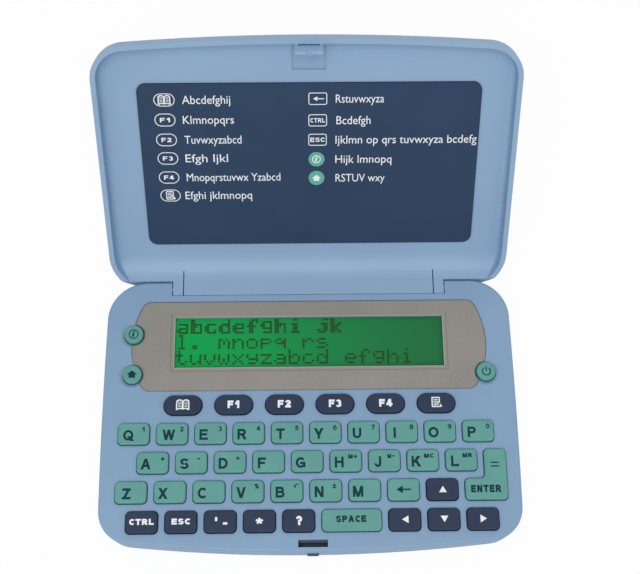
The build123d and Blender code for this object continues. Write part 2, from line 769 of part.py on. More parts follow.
pad_height = flange_z - key_travel - pad_clear - mat_z - mat_thickness
mat_back = bezel_y - bezel_depth / 2 - mat_margin
mat_front = board_front + mat_margin
mat_width = 2 * (front_boss[0] - boss_radius - mat_margin)
with BuildPart() as key_mat:
    with BuildSketch(Plane.XY.offset(mat_z)):
        with Locations((0, mat_front)):
            Rectangle(mat_width, mat_back - mat_front, align=(Align.CENTER, Align.MIN))
        for spot_x in (-round_key_x, round_key_x):
            with Locations((spot_x, shift_key_y)):
                Rectangle(2 * round_key_radius, 2 * round_key_radius)
        with Locations((-round_key_x, (info_key_y + shift_key_y) / 2)):
            Rectangle(2 * pad_radius, info_key_y - shift_key_y + 2 * pad_radius)
        for spot_x in (-round_key_x, round_key_x):
            with Locations((spot_x, (mat_back + shift_key_y) / 2)):
                Rectangle(2 * pad_radius, shift_key_y - mat_back + 2 * pad_radius)
        with Locations(*boss_spots):
            Circle(boss_radius + boss_board_gap, mode=Mode.SUBTRACT)
    extrude(amount=mat_thickness)
    with BuildSketch(Plane.XY.offset(mat_z + mat_thickness)):
        with Locations(*[(x, y) for _, _, x, y in keys]):
            Circle(pad_radius)
    extrude(amount=pad_height)
save(key_mat, "key_mat")

# ----------------------------------------------------------------------- keys
for name, outline, x, y in keys:
    with BuildPart() as key:
        with BuildSketch(Plane.XY.offset(flange_z)):
            with Locations((x, y)):
                outline(flange_rim)
        extrude(amount=flange_thickness)
        with BuildSketch(Plane.XY.offset(flange_top)):
            with Locations((x, y)):
                outline()
        extrude(amount=base_height + key_rise - flange_top)
        fillet(key.faces().sort_by(Axis.Z)[-1].edges(), key_edge)
    save(key, f"key_{name}")
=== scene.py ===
"""Finishes, printed marks, display segments and studio of a pocket electronic dictionary.

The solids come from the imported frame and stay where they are. Each gets a finish here, and the
printed marks and display segments are thin closed meshes that ride on the body that carries them.
"""

import json
import logging
from dataclasses import dataclass, field
from enum import Enum
from math import cos, radians, sin

import bpy
from mathutils import Matrix, Vector

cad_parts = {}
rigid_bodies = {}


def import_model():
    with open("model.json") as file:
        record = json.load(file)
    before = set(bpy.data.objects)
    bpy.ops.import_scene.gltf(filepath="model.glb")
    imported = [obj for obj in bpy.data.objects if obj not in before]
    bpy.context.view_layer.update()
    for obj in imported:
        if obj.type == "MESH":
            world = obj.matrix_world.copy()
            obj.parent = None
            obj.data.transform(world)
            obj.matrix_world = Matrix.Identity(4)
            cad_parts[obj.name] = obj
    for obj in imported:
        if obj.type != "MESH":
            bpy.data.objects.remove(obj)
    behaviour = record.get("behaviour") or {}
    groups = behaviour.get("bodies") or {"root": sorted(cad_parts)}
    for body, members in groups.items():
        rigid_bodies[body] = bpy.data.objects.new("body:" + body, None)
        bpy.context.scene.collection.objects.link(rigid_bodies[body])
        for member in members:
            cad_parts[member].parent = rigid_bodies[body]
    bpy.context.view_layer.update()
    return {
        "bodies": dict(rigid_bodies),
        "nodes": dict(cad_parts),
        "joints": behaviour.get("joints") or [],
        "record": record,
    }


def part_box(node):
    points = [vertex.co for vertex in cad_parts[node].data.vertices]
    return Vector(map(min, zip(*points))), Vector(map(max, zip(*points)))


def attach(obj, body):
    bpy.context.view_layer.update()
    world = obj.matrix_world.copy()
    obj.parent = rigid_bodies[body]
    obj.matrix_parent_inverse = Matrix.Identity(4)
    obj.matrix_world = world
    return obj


MM = 0.001
FULL_TURN = 360.0
LOG = logging.getLogger("dictionary")

Point = tuple[float, float]
Loop = list[Point]


def linear(code: str) -> tuple[float, float, float, float]:
    """Turn an sRGB hex code into linear red, green, blue and alpha.

    Args:
        code: Colour such as "#83A3BE".

    Returns:
        The same colour as Blender's shaders take it.
    """
    parts = [int(code[place:place + 2], 16) / 255 for place in (1, 3, 5)]
    return tuple(p / 12.92 if p <= 0.04045 else ((p + 0.055) / 1.055) ** 2.4 for p in parts) + (1.0,)


def add_node(tree: bpy.types.NodeTree, kind: str, sockets: dict | None = None, **settings) -> bpy.types.Node:
    """Add a node with its settings, values and links.

    Args:
        tree: Node tree of a material or of a geometry modifier.
        kind: Blender's node type.
        sockets: Input name or index, and the value or the output socket that feeds it.
        settings: Properties of the node itself.

    Returns:
        The new node.
    """
    node = tree.nodes.new(kind)
    for name, value in settings.items():
        setattr(node, name, value)
    for name, value in (sockets or {}).items():
        if isinstance(value, bpy.types.NodeSocket):
            tree.links.new(value, node.inputs[name])
        else:
            node.inputs[name].default_value = value
    return node


# --------------------------------------------------------------------------- finishes
@dataclass(frozen=True)
class Finish:
    """A moulded or printed surface: its colour, slow variation and fine grain, in real sizes.

    Attributes:
        name: Name of the material.
        colour: Main colour, sRGB.
        tint: Colour that the slow variation leans to.
        cloud: Size of one patch of the slow variation, mm.
        grain: Size of one grain of the skin, mm.
        relief: Height of that grain, mm.
        roughness: Mean roughness.
        spread: How far the roughness varies.
        metallic: Share of metal in the surface.
        ior: Index of refraction.
        specular: Strength of the dielectric reflection, 0.5 for a plain surface.
        stretch: How far the grain is drawn out along X, Y and Z.
    """

    name: str
    colour: str
    tint: str
    cloud: float = 16.0
    grain: float = 0.35
    relief: float = 0.004
    roughness: float = 0.45
    spread: float = 0.05
    metallic: float = 0.0
    ior: float = 1.5
    specular: float = 0.5
    stretch: tuple[float, float, float] = (1.0, 1.0, 1.0)

    def noise(self, tree: bpy.types.NodeTree, size: float, detail: float) -> bpy.types.NodeSocket:
        """Noise whose patches are `size` millimetres across, on the piece's own coordinates."""
        place = add_node(tree, "ShaderNodeTexCoord")
        drawn = tuple(1.0 / part for part in self.stretch)
        turned = add_node(tree, "ShaderNodeMapping", {"Vector": place.outputs["Object"], "Scale": drawn})
        fineness = 1.0 / (size * MM)
        source = {"Vector": turned.outputs[0], "Scale": fineness, "Detail": detail, "Roughness": 0.55}
        return add_node(tree, "ShaderNodeTexNoise", source).outputs["Fac"]

    def body_colour(self, tree: bpy.types.NodeTree) -> bpy.types.NodeSocket:
        """Main colour leaning to the tint in soft patches."""
        patches = self.noise(tree, self.cloud, 2.0)
        soft = add_node(tree, "ShaderNodeMapRange", {"Value": patches, "From Min": 0.3, "From Max": 0.7})
        mixed = add_node(tree, "ShaderNodeMix", {"Factor": soft.outputs[0]}, data_type="RGBA")
        mixed.inputs[6].default_value = linear(self.colour)
        mixed.inputs[7].default_value = linear(self.tint)
        return mixed.outputs[2]

    def shader(self, tree: bpy.types.NodeTree) -> bpy.types.Node:
        """The surface shader, with its colour, roughness and bump."""
        skin = self.noise(tree, self.grain, 3.0)
        low, high = self.roughness - self.spread, self.roughness + self.spread
        sheen = add_node(tree, "ShaderNodeMapRange", {"Value": skin, "To Min": low, "To Max": high})
        values = {
            "Base Color": self.body_colour(tree), "Roughness": sheen.outputs[0],
            "Normal": self.bump(tree, skin),
            "Metallic": self.metallic, "IOR": self.ior, "Specular IOR Level": self.specular,
        }
        return add_node(tree, "ShaderNodeBsdfPrincipled", values)

    def bump(self, tree: bpy.types.NodeTree, height: bpy.types.NodeSocket) -> bpy.types.NodeSocket:
        """Normal of the surface where the noise lifts it by the relief."""
        lift = {"Height": height, "Strength": 1.0, "Distance": self.relief * MM}
        return add_node(tree, "ShaderNodeBump", lift).outputs[0]

    def build(self) -> bpy.types.Material:
        """Make the material."""
        material = bpy.data.materials.new(self.name)
        material.use_nodes = True
        tree = material.node_tree
        tree.nodes.clear()
        surface = self.shader(tree)
        add_node(tree, "ShaderNodeOutputMaterial", {"Surface": surface.outputs[0]})
        material.diffuse_color = linear(self.colour)
        return material


@dataclass(frozen=True)
class Speckled(Finish):
    """Sprayed metallic paint: small flakes of lighter and darker silver in a warm grey binder."""

    flake: float = 0.45
    bright: str = "#B0ACA6"

    def body_colour(self, tree: bpy.types.NodeTree) -> bpy.types.NodeSocket:
        """Grey with brighter flakes over its soft patches."""
        ground = super().body_colour(tree)
        flakes = self.noise(tree, self.flake, 1.0)
        chosen = add_node(
            tree, "ShaderNodeMapRange", {"Value": flakes, "From Min": 0.55, "From Max": 0.75, "To Max": 0.4}
        )
        mixed = add_node(tree, "ShaderNodeMix", {"Factor": chosen.outputs[0], 6: ground}, data_type="RGBA")
        mixed.inputs[7].default_value = linear(self.bright)
        return mixed.outputs[2]


@dataclass(frozen=True)
class DisplayGlass(Finish):
    """Green reflective liquid crystal glass with painted light: strongest at its lit left end and greyer at
    the other.
    """

    far: str = "#257645"
    left: float = -44.0
    right: float = 44.0

    def body_colour(self, tree: bpy.types.NodeTree) -> bpy.types.NodeSocket:
        """Green that fades along X, with a faint cloud."""
        ground = super().body_colour(tree)
        place = add_node(tree, "ShaderNodeTexCoord")
        parts = add_node(tree, "ShaderNodeSeparateXYZ", {0: place.outputs["Object"]})
        limits = {"Value": parts.outputs[0], "From Min": self.left * MM, "From Max": self.right * MM}
        along = add_node(tree, "ShaderNodeMapRange", limits, interpolation_type="SMOOTHSTEP")
        mixed = add_node(tree, "ShaderNodeMix", {"Factor": along.outputs[0], 6: ground}, data_type="RGBA")
        mixed.inputs[7].default_value = linear(self.far)
        return mixed.outputs[2]


@dataclass(frozen=True)
class ClearLens(Finish):
    """Cast acrylic, polished on both faces: clear, with a sharp reflection."""

    def shader(self, tree: bpy.types.NodeTree) -> bpy.types.Node:
        """Clear shader with the faint waviness of a moulded lens."""
        wave = self.noise(tree, self.cloud, 1.0)
        values = {
            "Base Color": linear(self.colour), "Roughness": self.roughness, "IOR": self.ior,
            "Transmission Weight": 1.0, "Specular IOR Level": self.specular,
            "Normal": self.bump(tree, wave),
        }
        return add_node(tree, "ShaderNodeBsdfPrincipled", values)


class Skin(Enum):
    """The finishes of the object, each named for what it is made of and how, or for the light painted into
    it.
    """

    # ABS moulded in a spark-eroded tool: an even satin skin that scatters the highlight.
    SHELL = Finish("abs_light_blue_satin", "#87A7C7", "#83A3C3", cloud=22.0, roughness=0.46)
    # The same ABS, painted lighter on the lid as painted light for its tilted face, which the lamps light
    # less; a rounder polish on the lid's hollow, where the tool was smoother.
    LID = Finish("abs_light_blue_painted_lighter", "#92B1D1", "#8EADCD", cloud=26.0, relief=0.003, roughness=0.42)
    # Navy sheet printed on the back of matt polycarbonate: flat, with a velvet grain.
    PANEL = Finish(
        "polycarbonate_navy_matt", "#27405F", "#243C5A", grain=0.5, relief=0.003, roughness=0.5, specular=0.35
    )
    # Key caps double-rubbed in ABS: soft edges that catch a dull highlight.
    TEAL_KEY = Finish("abs_teal_key", "#60A39B", "#5B9C94", cloud=7.0, grain=0.3, relief=0.004, roughness=0.5)
    NAVY_KEY = Finish(
        "abs_navy_key", "#2B3A54", "#27344D", cloud=7.0, grain=0.3, relief=0.004, roughness=0.48, specular=0.3
    )
    # Warm silver lacquer sprayed on a moulded plate.
    BEZEL = Speckled("lacquer_warm_silver", "#9B9791", "#938F89", cloud=30.0, metallic=0.2, roughness=0.42)
    # A bloomed coat on the lens takes most of its reflection away.
    WINDOW = ClearLens(
        "acrylic_clear_cast", "#FFFFFF", "#FFFFFF", cloud=40.0, relief=0.0, roughness=0.05, ior=1.08,
        specular=0.1,
    )
    # Painted light: the glass is brightest green at its left end and greyer green towards the right.
    GLASS = DisplayGlass(
        "liquid_crystal_green", "#12AC56", "#0FA250", cloud=20.0, relief=0.0, roughness=0.35, specular=0.1
    )
    SEGMENT = Finish(
        "liquid_crystal_dark_segment", "#2A4A24", "#264420", cloud=3.0, roughness=0.5, specular=0.1
    )
    # Painted highlight: a pale warm-grey line where the moulded edge round the glass catches the light.
    LIP_HIGHLIGHT = Finish("painted_highlight_warm_grey_edge", "#ABA99E", "#A5A398", cloud=10.0, roughness=0.5)
    BOARD = Finish("solder_mask_green", "#225C3A", "#1C5033", cloud=5.0, roughness=0.35)
    RUBBER = Finish("silicone_grey_moulded", "#CDCDC8", "#C2C2BC", cloud=8.0, roughness=0.62)
    CELL = Finish(
        "steel_nickel_plated", "#C4C4C6", "#BBBBBE", metallic=1.0, roughness=0.3, stretch=(6.0, 1.0, 1.0)
    )
    SCREW = Finish("steel_zinc_plated", "#96969A", "#8B8B90", cloud=2.0, metallic=1.0, roughness=0.36)
    LATCH = Finish("acetal_slate", "#424D5A", "#3B4652", cloud=3.0, roughness=0.45)
    # Inks: pad-printed on the keys, screen-printed on the panel and the plate.
    DARK_INK = Finish(
        "ink_deep_teal", "#173F49", "#153A44", cloud=2.0, relief=0.001, roughness=0.55, specular=0.1
    )
    WHITE_INK = Finish("ink_white", "#F6F9FC", "#F0F4F8", cloud=2.0, relief=0.001, roughness=0.55)
    TEAL_INK = Finish("ink_teal", "#62B5A4", "#5CAC9C", cloud=2.0, grain=0.2, relief=0.001, roughness=0.55)


class Finishes:
    """Builds each material once and hands it out."""

    def __init__(self) -> None:
        """Start with no material made."""
        self.made: dict[Skin, bpy.types.Material] = {}

    def get(self, skin: Skin) -> bpy.types.Material:
        """The material of a finish, made at its first use."""
        if skin not in self.made:
            self.made[skin] = skin.value.build()
        return self.made[skin]

    def dress(self, node: bpy.types.Object, skin: Skin) -> None:
        """Give a solid of the frame its finish."""
        node.data.materials.clear()
        node.data.materials.append(self.get(skin))


# ------------------------------------------------------------------------ flat shapes
def arc(centre: Point, radius: float, start: float, end: float, steps: int = 10) -> Loop:
    """Points of an arc.

    Args:
        centre: Its centre.
        radius: Its radius.
        start: First angle in degrees, anticlockwise from +X.
        end: Last angle.
        steps: Number of runs.

    Returns:
        The points from first to last.
    """
    turns = [radians(start + (end - start) * place / steps) for place in range(steps + 1)]
    return [(centre[0] + radius * cos(a), centre[1] + radius * sin(a)) for a in turns]


def circle(centre: Point, radius: float, steps: int = 24) -> Loop:
    """Evenly spaced points all the way round."""
    return arc(centre, radius, 0, FULL_TURN - FULL_TURN / steps, steps - 1)


def rounded(centre: Point, width: float, height: float, corner: float) -> Loop:
    """A rectangle with round corners; it is a pill where the corner is half its height."""
    x, y = width / 2 - corner, height / 2 - corner
    spots = ((x, y, 0), (-x, y, 90), (-x, -y, 180), (x, -y, 270))
    return [p for dx, dy, a in spots for p in arc((centre[0] + dx, centre[1] + dy), corner, a, a + 90, 6)]


def frame_line(centre: Point, width: float, height: float, corner: float, line: float) -> list[Loop]:
    """The outline of a rounded rectangle, drawn `line` wide."""
    inner = rounded(centre, width - 2 * line, height - 2 * line, max(corner - line, line / 2))
    return [rounded(centre, width, height, corner), inner]


def ring(centre: Point, radius: float, line: float) -> list[Loop]:
    """A circle drawn `line` wide."""
    return [circle(centre, radius + line / 2), circle(centre, radius - line / 2)]


def stroke(points: Loop, line: float) -> list[Loop]:
    """Straight strokes of one width along a row of points."""
    bars = []
    for (x0, y0), (x1, y1) in zip(points, points[1:]):
        run = Vector((x1 - x0, y1 - y0))
        side = Vector((-run.y, run.x)).normalized() * line / 2
        bars.append([(x0 + side.x, y0 + side.y), (x0 - side.x, y0 - side.y),
                     (x1 - side.x, y1 - side.y), (x1 + side.x, y1 + side.y)])
    return bars


def moved(loops: list[Loop], by: Point, size: float = 1.0) -> list[Loop]:
    """The same loops scaled about the origin and moved."""
    return [[(by[0] + x * size, by[1] + y * size) for x, y in loop] for loop in loops]


def triangle(centre: Point, turn: float, size: float) -> Loop:
    """An arrow head `size` long, pointing `turn` degrees anticlockwise from +X."""
    spots = ((0.5, 0.0), (-0.5, 0.6), (-0.5, -0.6))
    c, s = cos(radians(turn)), sin(radians(turn))
    return [(centre[0] + size * (x * c - y * s), centre[1] + size * (x * s + y * c)) for x, y in spots]


class Icon(Enum):
    """Pictures drawn from plain shapes, about 3 mm across and centred."""

    BOOK = "open book"
    NOTE = "note sheet with a pencil"
    INFO = "letter i in a ring"
    SHIFT = "squat upward arrow"
    POWER = "ring with a bar"
    BACK = "arrow to the left"

    def loops(self) -> list[list[Loop]]:
        """The icon's groups of loops; inside a group an inner loop is a hole."""
        if self is Icon.BOOK:
            return self.book()
        if self is Icon.NOTE:
            sheet = frame_line((-0.2, 0.1), 2.7, 3.4, 0.3, 0.36)
            lines = [stroke([(-0.95, y), (0.5, y)], 0.3) for y in (0.95, 0.35, -0.25, -0.85)]
            pencil = stroke([(0.45, 0.15), (1.55, -1.45)], 0.62)
            return [sheet, *lines, pencil]
        if self is Icon.INFO:
            stem = [(-0.52, 0.46), (0.3, 0.46), (0.08, -0.52), (0.3, -0.52), (0.24, -0.84), (-0.56, -0.84),
                    (-0.3, 0.18), (-0.58, 0.18)]
            return [ring((0, 0), 1.46, 0.34), [stem], [circle((0.16, 0.83), 0.28, 12)]]
        if self is Icon.SHIFT:
            right = [(1.75, -0.1), (1.05, -0.1), (1.05, -1.2)]
            left = [(-x, y) for x, y in reversed(right)]
            return [[[(0, 1.3), *right, *left]]]
        if self is Icon.POWER:
            ends = (125, 415)
            half = arc((0, -0.1), 1.5, *ends, 24) + arc((0, -0.1), 1.14, ends[1], ends[0], 24)
            return [[half], stroke([(0, 0.0), (0, 1.55)], 0.36)]
        return [[triangle((-1.3, 0), 180, 2.05)], stroke([(-0.5, 0), (2.3, 0)], 0.5)]

    @staticmethod
    def book() -> list[list[Loop]]:
        """Two pages with a curved foot, and four printed lines on each."""
        groups = []
        for side in (-1, 1):
            page = [(0.0, -1.45), (0.0, 1.3), (0.35, 1.65), (0.9, 1.8), (1.5, 1.75), (1.95, 1.45),
                    (2.15, 1.0), (2.15, -1.7), (1.75, -1.75), (1.3, -1.5), (0.8, -1.35), (0.3, -1.6)]
            inner = [(0.3, -1.15), (0.3, 1.1), (0.65, 1.35), (1.1, 1.4), (1.5, 1.25), (1.75, 0.95),
                     (1.75, -1.25), (1.2, -1.05), (0.7, -1.0)]
            groups.append([[(side * x, y) for x, y in page], [(side * x, y) for x, y in inner]])
            groups += [stroke([(side * 0.52, y), (side * 1.55, y)], 0.2) for y in (0.9, 0.4, -0.1, -0.6)]
        return groups


class Stroke(Enum):
    """How a part of a block letter is drawn."""

    STEM = "v"
    BAR = "h"
    SLANT = "d"
    LINE = "s"
    BOWL = "c"


class BlockLetters:
    """Upright block capitals, digits and signs of one stroke width.

    Each letter is a few strokes with numbers on the middle line of the pen, where the letter is 1 high:
    v is a stem at x from y to y, h a bar at y from x to x, d a slanted stroke with level ends from one
    point to another, s one with square ends, and c a bowl with its centre, its two radii and its first
    and last angle.
    """

    RUN = 15
    FEWEST_RUNS = 6
    SHAPES = {
        "A": "d 0 0 .44 1, d .88 0 .44 1, h .3 .2 .68",
        "B": "v 0 0 1, h 1 0 .36, h .53 0 .38, h 0 0 .39, "
             "c .42 .765 .27 .235 -90 90, c .45 .265 .31 .265 -90 90",
        "C": "c .43 .5 .43 .5 42 318",
        "D": "v 0 0 1, h 1 0 .29, h 0 0 .29, c .35 .5 .43 .5 -90 90",
        "E": "v 0 0 1, h 1 0 .68, h .53 0 .62, h 0 0 .71",
        "F": "v 0 0 1, h 1 0 .66, h .5 0 .55",
        "G": "c .45 .5 .45 .5 42 322, h .44 .52 .86, v .86 .08 .44",
        "H": "v 0 0 1, v .76 0 1, h .53 0 .76",
        "I": "v 0 0 1",
        "J": "v .52 .3 1, c .26 .3 .26 .3 180 360",
        "K": "v 0 0 1, d .12 .46 .74 1, d .34 .5 .8 0",
        "L": "v 0 0 1, h 0 0 .64",
        "M": "v 0 0 1, v .92 0 1, d .46 0 .03 1, d .46 0 .89 1",
        "N": "v 0 0 1, v .76 0 1, d .03 1 .73 0",
        "O": "c .46 .5 .46 .5 0 360",
        "P": "v 0 0 1, h 1 0 .36, h .46 0 .36, c .42 .73 .29 .27 -90 90",
        "Q": "c .46 .5 .46 .5 0 360, d .56 .26 .95 -.06",
        "R": "v 0 0 1, h 1 0 .38, h .48 0 .38, c .44 .74 .29 .26 -90 90, d .4 .46 .78 0",
        "S": "c .37 .75 .35 .25 15 262, c .37 .255 .37 .255 -165 82",
        "T": "h 1 0 .76, v .38 0 1",
        "U": "v 0 .38 1, v .74 .38 1, c .37 .38 .37 .38 180 360",
        "V": "d .41 0 0 1, d .41 0 .82 1",
        "W": "d .29 0 0 1, d .29 0 .6 1, d .91 0 .6 1, d .91 0 1.2 1",
        "X": "d 0 0 .78 1, d .78 0 0 1",
        "Y": "d .4 .42 0 1, d .4 .42 .8 1, v .4 0 .42",
        "Z": "h 1 .03 .72, h 0 0 .74, d .06 0 .7 1",
        "0": "c .32 .5 .32 .5 0 360",
        "1": "v .34 0 1, d 0 .68 .3 .96",
        "2": "c .32 .7 .32 .3 -32 168, d .04 0 .55 .5, h 0 .02 .66",
        "3": "c .29 .755 .28 .245 -90 155, c .29 .26 .32 .26 -155 90",
        "4": "v .5 0 1, d .02 .3 .44 1, h .26 0 .7",
        "5": "h 1 .12 .58, d .04 .5 .13 1, c .29 .33 .33 .33 -155 140",
        "6": "c .33 .32 .33 .32 0 360, c .36 .5 .36 .5 52 185",
        "7": "h 1 0 .64, d .2 0 .62 1",
        "8": "c .32 .76 .28 .24 0 360, c .32 .265 .33 .265 0 360",
        "9": "c .33 .68 .33 .32 0 360, c .3 .5 .36 .5 -128 5",
        "+": "h .5 0 .7, v .35 .15 .85",
        "-": "h .5 0 .5",
        "=": "h .72 0 .8, h .3 0 .8",
        "±": "h .62 0 .7, v .35 .3 .95, h 0 0 .7",
        "×": "s 0 .2 .6 .8, s .6 .2 0 .8",
        "%": "c .17 .82 .14 .18 0 360, c .78 .18 .14 .18 0 360, d .2 0 .74 1",
        "?": "c .34 .72 .34 .3 -55 172, v .36 .3 .42, v .36 0 .02",
        "'": "v 0 .68 1",
        "*": "s .4 .5 .4 .96, s .4 .5 .82 .64, s .4 .5 -.02 .64, s .4 .5 .14 .13, s .4 .5 .66 .13",
        "√": "s 0 .4 .14 .52, s .14 .52 .34 0, s .34 0 .6 1, h 1 .6 1.15",
    }

    @classmethod
    def loops(cls, letter: str, scale: float, pen: float) -> list[list[Loop]]:
        """The strokes of one letter, in millimetres from the foot of its left side.

        Args:
            letter: The letter.
            scale: Height of its middle line.
            pen: Width of the pen.

        Returns:
            One group of loops for each stroke.
        """
        half = pen / 2
        groups = []
        for part in cls.SHAPES[letter].split(","):
            kind, *numbers = part.split()
            drawn = Stroke(kind)
            first, second, third, *rest = (float(number) for number in numbers)
            start, end = (first * scale, second * scale), (third * scale, rest[0] * scale if rest else 0.0)
            if drawn is Stroke.STEM:
                groups.append([cls.block((start[0], start[1]), (start[0], end[0]), half)])
            elif drawn is Stroke.BAR:
                groups.append([cls.block((start[1], start[0]), (end[0], start[0]), half)])
            elif drawn is Stroke.LINE:
                groups.append(stroke([start, end], pen))
            elif drawn is Stroke.SLANT:
                groups.append([cls.slant(start, end, pen)])
            else:
                groups.append(cls.bowl(start, end, rest[1:], half))
        return [[[(x + half, y + half) for x, y in loop] for loop in group] for group in groups]

    @staticmethod
    def block(low: Point, high: Point, half: float) -> Loop:
        """An upright or level stroke, half a pen beyond its lowest and its highest point."""
        left, right, foot, head = low[0] - half, high[0] + half, low[1] - half, high[1] + half
        return [(left, foot), (right, foot), (right, head), (left, head)]

    @staticmethod
    def slant(start: Point, end: Point, pen: float) -> Loop:
        """A slanted stroke with level ends, half a pen beyond its two points."""
        (x0, y0), (x1, y1) = sorted((start, end), key=lambda spot: spot[1])
        run = Vector((x1 - x0, y1 - y0))
        side = min(pen / 2 * run.length / max(abs(run.y), 1e-6), pen)
        low, high = y0 - pen / 2, y1 + pen / 2
        return [(x0 - side, low), (x0 + side, low), (x1 + side, high), (x1 - side, high)]

    @staticmethod
    def bowl(centre: Point, radii: Point, angles: list[float], half: float) -> list[Loop]:
        """A band along an ellipse, closed on itself where it goes all the way round."""
        start, end = angles
        steps = max(BlockLetters.FEWEST_RUNS, round((end - start) / BlockLetters.RUN))
        whole = end - start >= FULL_TURN
        count = steps if whole else steps + 1
        turns = [radians(start + (end - start) * place / steps) for place in range(count)]
        sides = []
        for grow in (half, -half):
            wide, tall = radii[0] + grow, radii[1] + grow
            sides.append([(centre[0] + wide * cos(turn), centre[1] + tall * sin(turn)) for turn in turns])
        return sides if whole else [sides[0] + sides[1][::-1]]


class Weight(Enum):
    """How bold block letters are: the pen's width as a share of a capital's height."""

    LIGHT = 0.13
    BOLD = 0.215
    HEAVY = 0.28


class Print:
    """Marks of ink gathered on one plane and made one thin closed mesh."""

    THICKNESS = 0.03
    LETTER_GAP = 0.16
    LAYERS = 6
    LAYER_STEP = 0.0015
    CAP_SHARE = 0.0

    def __init__(self, name: str, plane: Matrix, finishes: Finishes) -> None:
        """Start a print.

        Args:
            name: Name of the finished piece.
            plane: Turns the print's own millimetres into the frame's metres.
            finishes: The object's materials.
        """
        self.name = name
        self.plane = plane
        self.finishes = finishes
        self.skins: list[Skin] = []
        self.points: list[Vector] = []
        self.faces: list[tuple[int, ...]] = []
        self.slots: list[int] = []

    def take(self, curve: bpy.types.Curve, shift: Vector, skin: Skin, lift: float) -> None:
        """Make a filled curve a slab of ink and add it to the print."""
        curve.extrude = self.THICKNESS / 2
        holder = bpy.data.objects.new("mark", curve)
        mesh = bpy.data.meshes.new_from_object(holder)
        if skin not in self.skins:
            self.skins.append(skin)
        first = len(self.points)
        self.points += [v.co + shift + Vector((0, 0, lift)) for v in mesh.vertices]
        self.faces += [tuple(first + place for place in p.vertices) for p in mesh.polygons]
        self.slots += [self.skins.index(skin)] * len(mesh.polygons)
        bpy.data.objects.remove(holder)
        bpy.data.meshes.remove(mesh)
        bpy.data.curves.remove(curve)

    def shape(self, loops: list[Loop], skin: Skin, lift: float = 0.0) -> None:
        """Add one filled shape; an inner loop is a hole."""
        curve = bpy.data.curves.new("shape", "CURVE")
        curve.dimensions = "2D"
        curve.fill_mode = "BOTH"
        for loop in loops:
            spline = curve.splines.new("POLY")
            spline.points.add(len(loop) - 1)
            for point, (x, y) in zip(spline.points, loop):
                point.co = (x, y, 0, 1)
            spline.use_cyclic_u = True
        self.take(curve, Vector(), skin, lift)

    def icon(self, icon: Icon, centre: Point, size: float, skin: Skin, lift: float = 0.0) -> None:
        """Add an icon, `size` times its drawn size."""
        for group in icon.loops():
            self.shape(moved(group, centre, size), skin, lift)

    def letters(self, text: str, centre: Point, cap: float, skin: Skin, weight: Weight,
                width: float = 0.0) -> None:
        """Add block letters.

        Args:
            text: Capitals, digits and signs.
            centre: Middle of the line.
            cap: Height of a capital, mm.
            skin: The ink.
            weight: How bold they are.
            width: Length that the line is fitted to, or 0 for its own.
        """
        pen = cap * weight.value
        drawn, end = [], 0.0
        for letter in text:
            groups = BlockLetters.loops(letter, cap - pen, pen)
            across = [x for group in groups for loop in group for x, _ in loop]
            left, right = min(across), max(across)
            drawn += [[[(x - left + end, y) for x, y in loop] for loop in group] for group in groups]
            end += right - left + self.LETTER_GAP * cap
        end -= self.LETTER_GAP * cap
        stretch = width / end if width else 1.0
        # Each stroke lies a hair above the one before, so that no two share a face.
        left, foot = centre[0] - end / 2 * stretch, centre[1] - cap / 2
        for place, group in enumerate(drawn):
            loops = [[(left + x * stretch, foot + y) for x, y in loop] for loop in group]
            self.shape(loops, skin, (place % self.LAYERS) * self.LAYER_STEP)

    def words(self, text: str, start: Point, cap: float, skin: Skin, width: float) -> None:
        """Add a line of text.

        Args:
            text: The words.
            start: Left end of the line's middle.
            cap: Height of a capital, mm.
            skin: The ink.
            width: Length that the line is fitted to.
        """
        if not Print.CAP_SHARE:
            Print.CAP_SHARE = self.measure("H")[1].y
        low, high = self.measure(text)
        size = cap / Print.CAP_SHARE
        curve = bpy.data.curves.new("words", "FONT")
        curve.body = text
        curve.resolution_u = 3
        curve.size = size
        first = len(self.points)
        self.take(curve, Vector((-low.x * size, -cap / 2, 0)), skin, 0.0)
        stretch = width / ((high.x - low.x) * size)
        for place in range(first, len(self.points)):
            x, y, z = self.points[place]
            self.points[place] = Vector((start[0] + x * stretch, start[1] + y, z))

    @staticmethod
    def measure(text: str) -> tuple[Vector, Vector]:
        """Lowest and highest corners of a line of text at size 1."""
        curve = bpy.data.curves.new("measure", "FONT")
        curve.body = text
        holder = bpy.data.objects.new("measure", curve)
        mesh = bpy.data.meshes.new_from_object(holder)
        sides = [[pick(v.co[axis] for v in mesh.vertices) for axis in range(3)] for pick in (min, max)]
        bpy.data.objects.remove(holder)
        bpy.data.meshes.remove(mesh)
        bpy.data.curves.remove(curve)
        return Vector(sides[0]), Vector(sides[1])

    def finish(self, body: str) -> bpy.types.Object:
        """Join the marks, put them in place and let them ride on a body.

        Args:
            body: The body that carries the print.

        Returns:
            The finished piece.
        """
        mesh = bpy.data.meshes.new(self.name)
        mesh.from_pydata([self.plane @ p for p in self.points], [], self.faces)
        for skin in self.skins:
            mesh.materials.append(self.finishes.get(skin))
        mesh.polygons.foreach_set("material_index", self.slots)
        mesh.update()
        piece = bpy.data.objects.new(self.name, mesh)
        bpy.context.scene.collection.objects.link(piece)
        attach(piece, body)
        LOG.info("%s: %d faces on %s", self.name, len(self.faces), body)
        return piece


# --------------------------------------------------------------------------- keyboard
@dataclass
class Mark:
    """One line of lettering on a key: text, place from the key's middle, capital height."""

    text: str
    x: float
    y: float
    cap: float
    weight: Weight = Weight.BOLD
    width: float = 0.0


